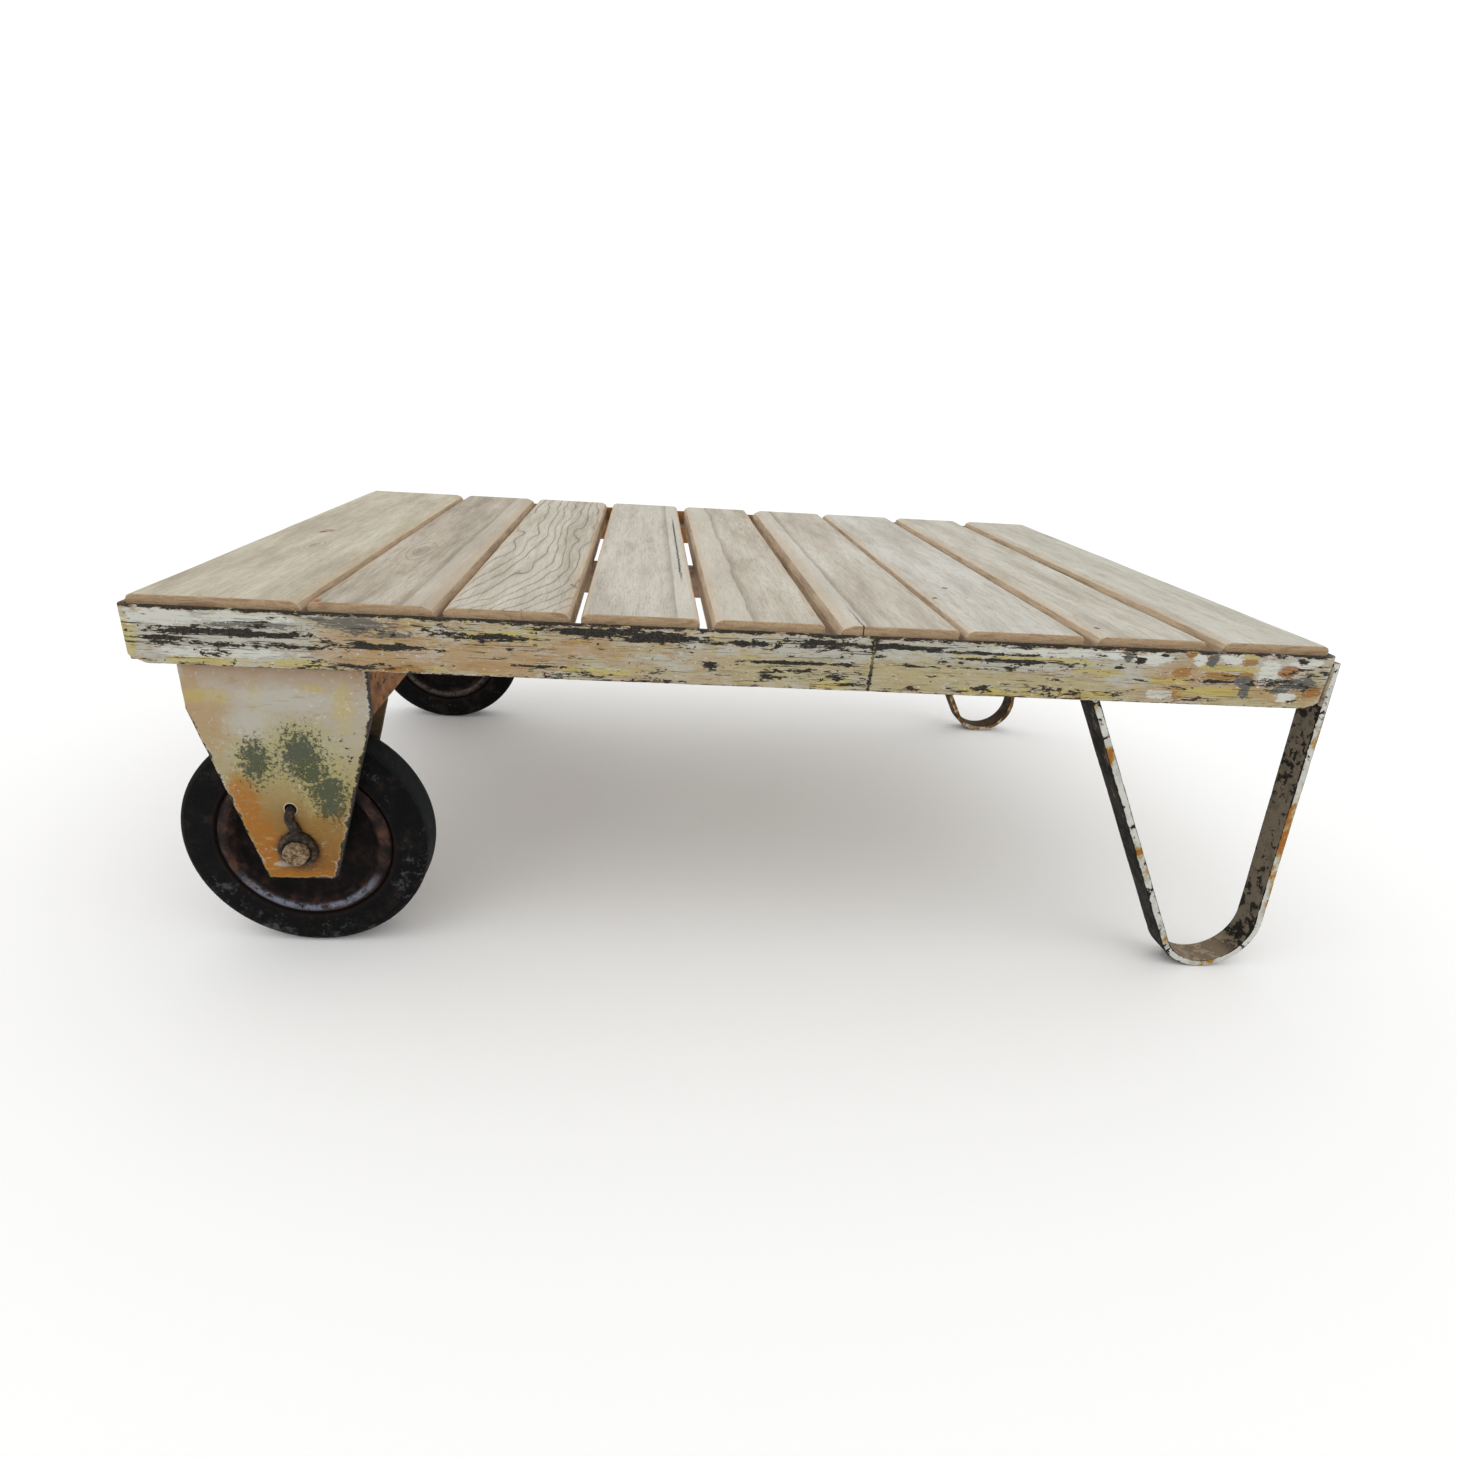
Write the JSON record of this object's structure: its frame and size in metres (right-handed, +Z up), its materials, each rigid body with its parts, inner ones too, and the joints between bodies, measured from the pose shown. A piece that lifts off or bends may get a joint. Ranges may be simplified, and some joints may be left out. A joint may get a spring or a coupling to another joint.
{
  "type": "platform trolley",
  "caption": "Low platform trolley: slatted oak deck in a steel frame, fixed rubber-tyred wheels at one end and bent strap legs at the other.",
  "frame": {"origin": "centre of the trolley's footprint, on the ground", "axes": "+X along the deck from the wheel end to the leg end, +Y from the front rail to the rear rail, +Z up"},
  "size_m": [1.1772, 0.742, 0.3845],
  "materials": {
    "rail_paint": "layered pale grey, cream, yellow and ochre paint, chipped to dark metal",
    "fork_paint": "ochre paint with chalky white and dark green patches",
    "leg_paint": "pale grey and yellow paint, heavily chipped to dark metal",
    "oak": "sanded dry oak, matt",
    "black_rubber": "worn black rubber with dust",
    "rusty_rim": "dark rusted pressed steel, polished by wear on the lip",
    "axle_steel": "crusted with rust",
    "keeper_iron": "dark oiled iron",
    "washer_steel": "dull dark steel",
    "bush_bronze": "dull bronze"
  },
  "bodies": {
    "trolley_frame": {"front_rail": "rail_paint", "rear_rail": "rail_paint", "wheel_end_rail": "rail_paint", "leg_end_rail": "rail_paint", "mid_bearer": "rail_paint", "wheel_channel": "fork_paint", "slat_1": "oak", "slat_2": "oak", "slat_3": "oak", "slat_4": "oak", "slat_5": "oak", "slat_6": "oak", "slat_7": "oak", "slat_8": "oak", "slat_9": "oak", "front_leg": "leg_paint", "rear_leg": "leg_paint", "front_outer_cheek": "fork_paint", "front_inner_cheek": "fork_paint", "front_axle": "axle_steel", "front_axle_keeper": "keeper_iron", "front_outer_washer": "washer_steel", "front_inner_washer": "washer_steel", "rear_outer_cheek": "fork_paint", "rear_inner_cheek": "fork_paint", "rear_axle": "axle_steel", "rear_axle_keeper": "keeper_iron", "rear_outer_washer": "washer_steel", "rear_inner_washer": "washer_steel"},
    "front_wheel": {"front_tyre": "black_rubber", "front_outer_rim": "rusty_rim", "front_inner_rim": "rusty_rim", "front_hub": "washer_steel", "front_outer_bush": "bush_bronze", "front_inner_bush": "bush_bronze"},
    "rear_wheel": {"rear_tyre": "black_rubber", "rear_outer_rim": "rusty_rim", "rear_inner_rim": "rusty_rim", "rear_hub": "washer_steel", "rear_outer_bush": "bush_bronze", "rear_inner_bush": "bush_bronze"}
  },
  "joints": [
    {"name": "front_wheel_spin", "type": "hinge", "parent": "trolley_frame", "child": "front_wheel", "pos_m": [-0.4606, -0.3201, 0.125], "axis": [0, 1, 0], "continuous": true},
    {"name": "rear_wheel_spin", "type": "hinge", "parent": "trolley_frame", "child": "rear_wheel", "pos_m": [-0.4606, 0.3201, 0.125], "axis": [0, 1, 0], "continuous": true}
  ]
}
